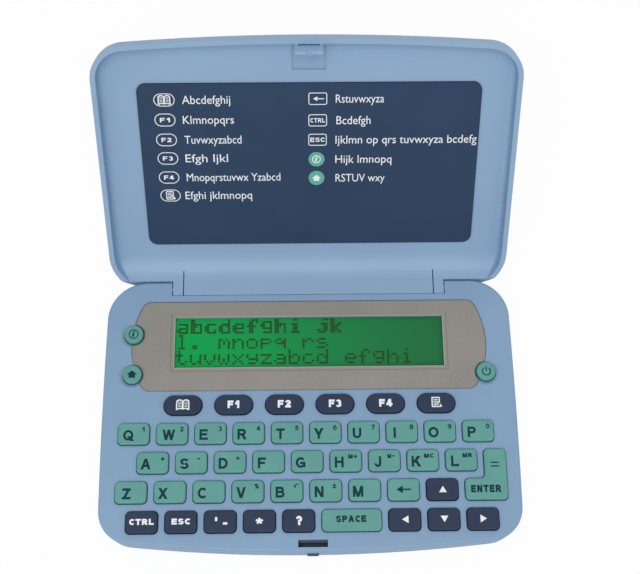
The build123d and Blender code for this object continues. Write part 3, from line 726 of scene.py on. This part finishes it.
@dataclass
class Keyboard:
    """The 47 keys and what is printed on them."""

    letter_cap: float = 3.45
    letter_place: Point = (-2.1, -0.45)
    letter_shifts: dict[str, float] = field(default_factory=lambda: {"w": 1.1, "q": 0.6, "z": 0.8, "i": -0.2})
    digit_cap: float = 1.6
    digit_place: Point = (3.1, 1.4)
    navy: tuple[str, ...] = (
        "dictionary", "thesaurus", "conjugation", "list", "index", "features",
        "control", "back", "apostrophe", "asterisk", "question", "up", "left", "down", "right",
    )
    letters: str = "qwertyuiopasdfghjklzxcvbnm"
    digits: dict[str, str] = field(default_factory=lambda: dict(zip("qwertyuiop", "1234567890")))
    words: dict[str, tuple[Mark, ...]] = field(default_factory=lambda: {
        "a": (Mark("+", 3.2, 1.15, 1.5, Weight.HEAVY),),
        "s": (Mark("-", 2.3, 1.1, 1.5, Weight.HEAVY),),
        "d": (Mark("×", 2.5, 1.1, 1.7, Weight.BOLD),),
        "v": (Mark("%", 2.8, 1.5, 1.5, Weight.BOLD),),
        "b": (Mark("√", 2.9, 1.5, 1.3, Weight.BOLD, 1.7),),
        "n": (Mark("±", 2.7, 1.4, 1.6, Weight.BOLD),),
        "h": (Mark("M+", 2.2, 1.35, 1.35, Weight.HEAVY, 2.8),),
        "j": (Mark("M-", 2.1, 1.35, 1.35, Weight.HEAVY, 2.3),),
        "k": (Mark("MC", 1.9, 1.35, 1.35, Weight.HEAVY, 3.1),),
        "l": (Mark("MR", 1.9, 1.35, 1.35, Weight.HEAVY, 3.1),),
        "thesaurus": (Mark("F1", 0, 0, 2.5, Weight.HEAVY),),
        "conjugation": (Mark("F2", 0, 0, 2.5, Weight.HEAVY),),
        "list": (Mark("F3", 0, 0, 2.5, Weight.HEAVY),),
        "index": (Mark("F4", 0, 0, 2.5, Weight.HEAVY),),
        "control": (Mark("CTRL", 0.1, 0.1, 1.85, Weight.HEAVY, 7.6),),
        "back": (Mark("ESC", 0.1, 0.1, 1.85, Weight.HEAVY, 5.8),),
        "apostrophe": (
            Mark("'", -1.2, 0.1, 2.5, Weight.HEAVY), Mark("-", 1.6, -0.65, 2.5, Weight.HEAVY, 1.35),
        ),
        "asterisk": (Mark("*", 0.0, 0.0, 2.6, Weight.BOLD, 2.4),),
        "question": (Mark("?", 0.1, 0.0, 2.85, Weight.HEAVY, 1.9),),
        "space": (Mark("SPACE", -0.2, 0.35, 2.1, Weight.HEAVY, 9.4),),
        "enter": (Mark("ENTER", -0.2, 0.0, 2.35, Weight.HEAVY, 9.5), Mark("=", 3.0, 7.7, 3.2, Weight.LIGHT)),
    })
    icons: dict[str, Icon] = field(default_factory=lambda: {
        "dictionary": Icon.BOOK, "features": Icon.NOTE, "info": Icon.INFO, "shift": Icon.SHIFT,
        "power": Icon.POWER, "correction": Icon.BACK,
    })
    arrows: dict[str, float] = field(default_factory=lambda: dict(up=90.0, left=180.0, down=270.0, right=0.0))
    arrow_place: Point = (0.1, 0.0)
    arrow_size: float = 2.0
    row_pitch: float = 9.35

    def build(self, frame: dict, finishes: Finishes) -> None:
        """Dress every key and print on it."""
        names = [name[4:] for name in frame["nodes"] if name.startswith("key_") and name != "key_mat"]
        for name in sorted(names):
            skin = Skin.NAVY_KEY if name in self.navy else Skin.TEAL_KEY
            finishes.dress(frame["nodes"]["key_" + name], skin)
            self.print_key(name, finishes)

    def top(self, name: str) -> Matrix:
        """Plane of a key's top face, with its origin at the middle of the key."""
        low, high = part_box("key_" + name)
        middle = (low + high) / 2
        if name == "enter":
            # The wide foot of the L takes the word, and the arm above it is one row high.
            middle.y -= self.row_pitch * MM / 2
        return Matrix.Translation((middle.x, middle.y, high.z)) @ Matrix.Scale(MM, 4)

    def print_key(self, name: str, finishes: Finishes) -> None:
        """Print the marks of one key."""
        ink = Skin.WHITE_INK if name in self.navy else Skin.DARK_INK
        sheet = Print("print_" + name, self.top(name), finishes)
        if name in self.letters:
            spot = (self.letter_place[0] + self.letter_shifts.get(name, 0.0), self.letter_place[1])
            sheet.letters(name.upper(), spot, self.letter_cap, ink, Weight.BOLD)
        if name in self.digits:
            sheet.letters(self.digits[name], self.digit_place, self.digit_cap, ink, Weight.BOLD)
        for mark in self.words.get(name, ()):
            sheet.letters(mark.text, (mark.x, mark.y), mark.cap, ink, mark.weight, mark.width)
        if name in self.icons:
            sheet.icon(self.icons[name], (0.0, 0.0), 1.0, ink)
        if name in self.arrows:
            sheet.shape([triangle(self.arrow_place, self.arrows[name], self.arrow_size)], ink)
        sheet.finish("key_" + name)


# ---------------------------------------------------------------------------- display
@dataclass
class Display:
    """Silver plate, clear window, green glass and its dark segments."""

    rows: tuple[str, ...] = ("abcdefghi jk", "l. mnopq rs", "tuvwxyzabcd efghi")
    bold_row: int = 0
    dot: Point = (0.7, 0.6)
    pitch: Point = (0.77, 0.72)
    advance: float = 4.62
    line_step: float = 5.35
    left: float = -43.4
    top: float = 31.7
    lift: float = 0.02
    thickness: float = 0.02
    lip_width: float = 0.3
    ledge_width: float = 0.75
    cover: float = 0.2
    lip_corners: Point = (0.6, 0.3)
    dots_across: int = 5
    # Each letter is seven rows of five dots, top row first, as numbers whose bits are the dots.
    shapes: dict[str, str] = field(default_factory=lambda: {
        "a": "00 00 0E 01 0F 11 0F", "b": "10 10 16 19 11 11 1E", "c": "00 00 0E 10 10 11 0E",
        "d": "01 01 0D 13 11 11 0F", "e": "00 00 0E 11 1F 10 0E", "f": "06 09 08 1C 08 08 08",
        "g": "00 0F 11 11 0F 01 0E", "h": "10 10 16 19 11 11 11", "i": "04 00 0C 04 04 04 0E",
        "j": "02 00 06 02 02 12 0C", "k": "10 10 12 14 18 14 12", "l": "0C 04 04 04 04 04 0E",
        "m": "00 00 1A 15 15 11 11", "n": "00 00 16 19 11 11 11", "o": "00 00 0E 11 11 11 0E",
        "p": "00 00 1E 11 1E 10 10", "q": "00 00 0D 13 0F 01 01", "r": "00 00 16 19 10 10 10",
        "s": "00 00 0E 10 0E 01 1E", "t": "08 08 1C 08 08 09 06", "u": "00 00 11 11 11 13 0D",
        "v": "00 00 11 11 11 0A 04", "w": "00 00 11 11 15 15 0A", "x": "00 00 11 0A 04 0A 11",
        "y": "00 00 11 11 0F 01 0E", "z": "00 00 1F 02 04 08 1F", ".": "00 00 00 00 00 0C 0C",
    })

    def build(self, frame: dict, finishes: Finishes) -> None:
        """Dress the display's parts and set its segments."""
        nodes = frame["nodes"]
        finishes.dress(nodes["display_bezel"], Skin.BEZEL)
        finishes.dress(nodes["display_window"], Skin.WINDOW)
        finishes.dress(nodes["lcd_panel"], Skin.GLASS)
        # The lens is thin and clear: the light goes through it to the glass.
        nodes["display_window"].visible_shadow = False
        nodes["display_window"].visible_diffuse = False
        self.lip(finishes)
        self.segments(finishes)

    def lip(self, finishes: Finishes) -> None:
        """A pale line of painted highlight where the moulded edge round the glass catches the light, printed
        on the lens.
        """
        low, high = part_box("display_window")
        middle = (low + high) / 2
        plane = Matrix.Translation((middle.x, middle.y, high.z)) @ Matrix.Scale(MM, 4)
        size = (high - low) / MM
        sheet = Print("display_lip", plane, finishes)
        joint = 2 * self.cover
        ledge = self.ledge_width + self.cover
        outer, inner = self.lip_corners
        sheet.shape(frame_line((0.0, 0.0), size.x + joint, size.y + joint, outer, ledge), Skin.BEZEL)
        across, down = size.x - 2 * self.ledge_width, size.y - 2 * self.ledge_width
        # The pale line is painted highlight of the moulded edge.
        sheet.shape(frame_line((0.0, 0.0), across, down, inner, self.lip_width), Skin.LIP_HIGHLIGHT)
        sheet.finish("base")

    def spots(self) -> list[Vector]:
        """Middle of every dark dot."""
        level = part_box("lcd_panel")[1].z + self.lift * MM
        found = []
        for line, text in enumerate(self.rows):
            for place, letter in enumerate(text):
                if letter == " ":
                    continue
                for down, code in enumerate(self.shapes[letter].split()):
                    bits = int(code, 16)
                    if line == self.bold_row and letter not in "mw":
                        bits |= bits >> 1
                    for across in range(self.dots_across):
                        if bits >> (self.dots_across - 1 - across) & 1:
                            x = self.left + place * self.advance + across * self.pitch[0]
                            y = self.top - line * self.line_step - down * self.pitch[1]
                            found.append(Vector((x * MM, y * MM, level)))
        return found

    def dot_tree(self) -> bpy.types.NodeTree:
        """Geometry nodes that put one flat dot on each point."""
        tree = bpy.data.node_groups.new("display_dots", "GeometryNodeTree")
        for name, kind, way in (
            ("Geometry", "NodeSocketGeometry", "INPUT"), ("Dot Width", "NodeSocketFloat", "INPUT"),
            ("Dot Depth", "NodeSocketFloat", "INPUT"), ("Dot Height", "NodeSocketFloat", "INPUT"),
            ("Finish", "NodeSocketMaterial", "INPUT"), ("Geometry", "NodeSocketGeometry", "OUTPUT"),
        ):
            tree.interface.new_socket(name, in_out=way, socket_type=kind)
        source = add_node(tree, "NodeGroupInput")
        names = ("Dot Width", "Dot Depth", "Dot Height")
        sizes = {place: source.outputs[name] for place, name in enumerate(names)}
        size = add_node(tree, "ShaderNodeCombineXYZ", sizes)
        dot = add_node(tree, "GeometryNodeMeshCube", {"Size": size.outputs[0]})
        points = {"Points": source.outputs["Geometry"], "Instance": dot.outputs["Mesh"]}
        laid = add_node(tree, "GeometryNodeInstanceOnPoints", points)
        real = add_node(tree, "GeometryNodeRealizeInstances", {"Geometry": laid.outputs[0]})
        inked = {"Geometry": real.outputs[0], "Material": source.outputs["Finish"]}
        dark = add_node(tree, "GeometryNodeSetMaterial", inked)
        add_node(tree, "NodeGroupOutput", {"Geometry": dark.outputs[0]})
        return tree

    def segments(self, finishes: Finishes) -> None:
        """Lay the dark dots just above the glass."""
        points = bpy.data.meshes.new("dots")
        points.from_pydata(self.spots(), [], [])
        holder = bpy.data.objects.new("dots", points)
        bpy.context.scene.collection.objects.link(holder)
        modifier = holder.modifiers.new("dots", "NODES")
        modifier.node_group = self.dot_tree()
        values = {
            "Dot Width": self.dot[0] * MM, "Dot Depth": self.dot[1] * MM, "Dot Height": self.thickness * MM,
            "Finish": finishes.get(Skin.SEGMENT),
        }
        for item in modifier.node_group.interface.items_tree:
            if item.in_out == "INPUT" and item.name in values:
                modifier[item.identifier] = values[item.name]
        mesh = bpy.data.meshes.new_from_object(holder.evaluated_get(bpy.context.evaluated_depsgraph_get()))
        bpy.data.objects.remove(holder)
        mesh.name = "display_dots"
        piece = bpy.data.objects.new("display_dots", mesh)
        bpy.context.scene.collection.objects.link(piece)
        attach(piece, "base")
        LOG.info("display_dots: %d faces on base", len(mesh.polygons))


# -------------------------------------------------------------------------------- lid
@dataclass
class Row:
    """One line of the legend on the panel: its place from the hinge, its symbol and its text."""

    u: float
    x: float
    symbol: str
    text_x: float
    text: str
    length: float


@dataclass
class Lid:
    """Tray-shaped lid with its navy legend panel."""

    opening: float = 126.0
    hinge: tuple[float, float, float] = (0.0, 42.4, 10.4)
    panel_face: float = -5.5
    cap: float = 2.75
    label_cap: float = 1.5
    pill: tuple[float, float, float] = (6.55, 4.35, 2.15)
    box: tuple[float, float, float] = (5.8, 4.1, 0.7)
    disc: float = 2.55
    line: float = 0.26
    picture_size: float = 0.92
    disc_picture_size: float = 0.85
    head: Point = (-0.8, 1.3)
    shaft: Point = (-0.2, 1.9)
    shaft_width: float = 0.3
    label_width: float = 1.6
    label_limit: float = 4.6
    left_rows: tuple[Row, ...] = (
        Row(66.4, -44.2, "book", -38.7, "Abcdefghij", 14.9),
        Row(59.65, -44.35, "F1", -38.8, "Klmnopqrs", 15.9),
        Row(52.8, -44.35, "F2", -38.7, "Tuvwxyzabcd", 17.9),
        Row(46.3, -44.35, "F3", -38.8, "Efgh Ijkl", 13.5),
        Row(39.5, -44.45, "F4", -38.8, "Mnopqrstuvwx Yzabcd", 30.0),
        Row(32.95, -44.4, "note", -39.6, "Efghi jklmnopq", 21.5),
    )
    right_rows: tuple[Row, ...] = (
        Row(66.5, 3.25, "arrow", 8.8, "Rstuvwxyza", 15.0),
        Row(59.2, 3.2, "CTRL", 9.05, "Bcdefgh", 10.7),
        Row(52.5, 3.15, "ESC", 8.8, "Ijklmn op qrs tuvwxyza bcdefg", 44.6),
        Row(45.65, 2.8, "info", 8.8, "Hijk lmnopq", 17.9),
        Row(38.95, 2.8, "shift", 8.9, "RSTUV wxy", 15.8),
    )

    pictures: dict[str, Icon] = field(default_factory=lambda: {"book": Icon.BOOK, "note": Icon.NOTE})
    disc_pictures: dict[str, Icon] = field(default_factory=lambda: {"info": Icon.INFO, "shift": Icon.SHIFT})

    def panel_plane(self) -> Matrix:
        """Plane of the panel's face at rest: X along the hinge, Y up the lid."""
        tilt = radians(180.0 - self.opening)
        up = Vector((0, cos(tilt), sin(tilt)))
        face = Vector((0, -sin(tilt), cos(tilt)))
        origin = (Vector(self.hinge) + face * self.panel_face) * MM
        columns = Matrix((Vector((1, 0, 0)), up, face)).transposed().to_4x4()
        return Matrix.Translation(origin) @ columns @ Matrix.Scale(MM, 4)

    def build(self, frame: dict, finishes: Finishes) -> None:
        """Dress the lid and print its panel."""
        # The lid's shell is the shell's blue painted lighter, as painted light for its tilted face.
        finishes.dress(frame["nodes"]["lid_shell"], Skin.LID)
        finishes.dress(frame["nodes"]["lid_panel"], Skin.PANEL)
        legend = Print("panel_legend", self.panel_plane(), finishes)
        for row in self.left_rows:
            self.symbol(legend, row, rounded_ends=True)
        for row in self.right_rows:
            self.symbol(legend, row, rounded_ends=False)
        for row in self.left_rows + self.right_rows:
            legend.words(row.text, (row.text_x, row.u), self.cap, Skin.WHITE_INK, row.length)
        legend.finish("lid")

    def symbol(self, legend: Print, row: Row, rounded_ends: bool) -> None:
        """Draw the key picture at the head of a row.

        Args:
            legend: The panel's print.
            row: The row.
            rounded_ends: Whether the key's frame is a pill.
        """
        spot, ink = (row.x, row.u), Skin.WHITE_INK
        if row.symbol in self.disc_pictures:
            legend.shape([circle(spot, self.disc, 36)], Skin.TEAL_INK)
            icon = self.disc_pictures[row.symbol]
            legend.icon(icon, spot, self.disc_picture_size, ink, Print.THICKNESS / 3)
            return
        legend.shape(frame_line(spot, *(self.pill if rounded_ends else self.box), self.line), ink)
        if row.symbol in self.pictures:
            legend.icon(self.pictures[row.symbol], spot, self.picture_size, ink)
        elif row.symbol == "arrow":
            legend.shape([triangle((row.x + self.head[0], row.u), 180, self.head[1])], ink)
            legend.shape(stroke([(row.x + end, row.u) for end in self.shaft], self.shaft_width), ink)
        else:
            width = min(self.label_limit, self.label_width * len(row.symbol))
            legend.letters(row.symbol, spot, self.label_cap, ink, Weight.BOLD, width)


# ------------------------------------------------------------------------------- case
@dataclass
class Case:
    """Base mouldings, battery cover, fasteners, latch and the parts inside."""

    skins: dict[str, Skin] = field(default_factory=lambda: {
        "keyboard_cover": Skin.SHELL, "bottom_case": Skin.SHELL, "battery_cover": Skin.SHELL,
        "case_screws": Skin.SCREW, "coin_cells": Skin.CELL, "circuit_board": Skin.BOARD,
        "key_mat": Skin.RUBBER, "latch_button": Skin.LATCH,
    })

    def build(self, frame: dict, finishes: Finishes) -> None:
        """Dress every part of the case."""
        for name, skin in self.skins.items():
            finishes.dress(frame["nodes"][name], skin)
            LOG.info("%s: %s", name, skin.value.name)


# ------------------------------------------------------------------------------ studio
@dataclass
class Studio:
    """White floor, soft light and the camera."""

    floor_size: float = 6.0
    aim: tuple[float, float, float] = (3.842, 43.071, 10.4)
    stand: tuple[float, float, float] = (-1.441, -102.327, 388.283)
    roll: float = -1.446
    lens: float = 67.95
    sensor: float = 36.0
    world_level: float = 0.5
    floor_colour: str = "#F4F4F4"
    floor_glow: float = 0.94
    # Each lamp: its place in metres, its side in metres and its power in watts.
    lamps: dict[str, tuple[tuple[float, float, float], float, float]] = field(default_factory=lambda: {
        "key_light": ((-0.1, -0.5, 1.05), 0.85, 6.4), "fill_light": ((0.2, 0.75, 0.7), 0.5, 1.0),
    })
    lamp_aim: tuple[float, float, float] = (0.0, 0.02, 0.02)

    def build(self) -> None:
        """Set the stage, the lamps, the world and the camera."""
        self.floor()
        self.world()
        for name, (place, side, power) in self.lamps.items():
            self.lamp(name, place, side, power)
        self.camera()
        bpy.context.scene.view_settings.view_transform = "Standard"

    def floor(self) -> None:
        """A pale floor that keeps the object's shadow and is white where the light is full."""
        half = self.floor_size / 2
        mesh = bpy.data.meshes.new("floor")
        corners = [(-half, -half, 0), (half, -half, 0), (half, half, 0), (-half, half, 0)]
        mesh.from_pydata(corners, [], [(0, 1, 2, 3)])
        material = bpy.data.materials.new("floor_white")
        material.use_nodes = True
        tree = material.node_tree
        tree.nodes.clear()
        matt = add_node(tree, "ShaderNodeBsdfDiffuse", {"Color": linear(self.floor_colour)})
        glow = add_node(tree, "ShaderNodeEmission", {"Color": (1, 1, 1, 1), "Strength": 1.0})
        path = add_node(tree, "ShaderNodeLightPath")
        share = {0: path.outputs["Is Camera Ray"], 1: self.floor_glow}
        seen = add_node(tree, "ShaderNodeMath", share, operation="MULTIPLY")
        halves = {0: seen.outputs[0], 1: matt.outputs[0], 2: glow.outputs[0]}
        mixed = add_node(tree, "ShaderNodeMixShader", halves)
        add_node(tree, "ShaderNodeOutputMaterial", {"Surface": mixed.outputs[0]})
        mesh.materials.append(material)
        floor = bpy.data.objects.new("floor", mesh)
        bpy.context.scene.collection.objects.link(floor)

    def world(self) -> None:
        """Even grey-white surroundings, white where the camera sees them."""
        world = bpy.data.worlds.new("studio")
        bpy.context.scene.world = world
        world.use_nodes = True
        tree = world.node_tree
        tree.nodes.clear()
        path = add_node(tree, "ShaderNodeLightPath")
        level = add_node(tree, "ShaderNodeMapRange", {
            "Value": path.outputs["Is Camera Ray"], "To Min": self.world_level, "To Max": 1.0,
        })
        sky = add_node(tree, "ShaderNodeBackground", {"Color": (1, 1, 1, 1), "Strength": level.outputs[0]})
        add_node(tree, "ShaderNodeOutputWorld", {"Surface": sky.outputs[0]})

    def lamp(self, name: str, place: tuple[float, float, float], size: float, power: float) -> None:
        """A square soft lamp aimed at the object."""
        light = bpy.data.lights.new(name, "AREA")
        light.size = size
        light.energy = power
        lamp = bpy.data.objects.new(name, light)
        bpy.context.scene.collection.objects.link(lamp)
        lamp.location = place
        lamp.rotation_euler = (Vector(self.lamp_aim) - Vector(place)).to_track_quat("-Z", "Y").to_euler()

    def camera(self) -> None:
        """The camera, high in front of the keyboard."""
        data = bpy.data.cameras.new("camera")
        data.lens = self.lens
        data.sensor_width = self.sensor
        data.sensor_fit = "HORIZONTAL"
        camera = bpy.data.objects.new("camera", data)
        bpy.context.scene.collection.objects.link(camera)
        stand, aim = Vector(self.stand) * MM, Vector(self.aim) * MM
        turn = (aim - stand).to_track_quat("-Z", "Y").to_matrix().to_4x4()
        camera.matrix_world = Matrix.Translation(stand) @ turn @ Matrix.Rotation(radians(-self.roll), 4, "Z")
        bpy.context.scene.camera = camera


def main() -> None:
    """Load the frame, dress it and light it."""
    logging.basicConfig(level=logging.INFO, format="%(name)s: %(message)s")
    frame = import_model()
    finishes = Finishes()
    for part in (Case(), Display(), Keyboard(), Lid()):
        part.build(frame, finishes)
        LOG.info("%s done", type(part).__name__)
    Studio().build()


if __name__ == "__main__":
    main()
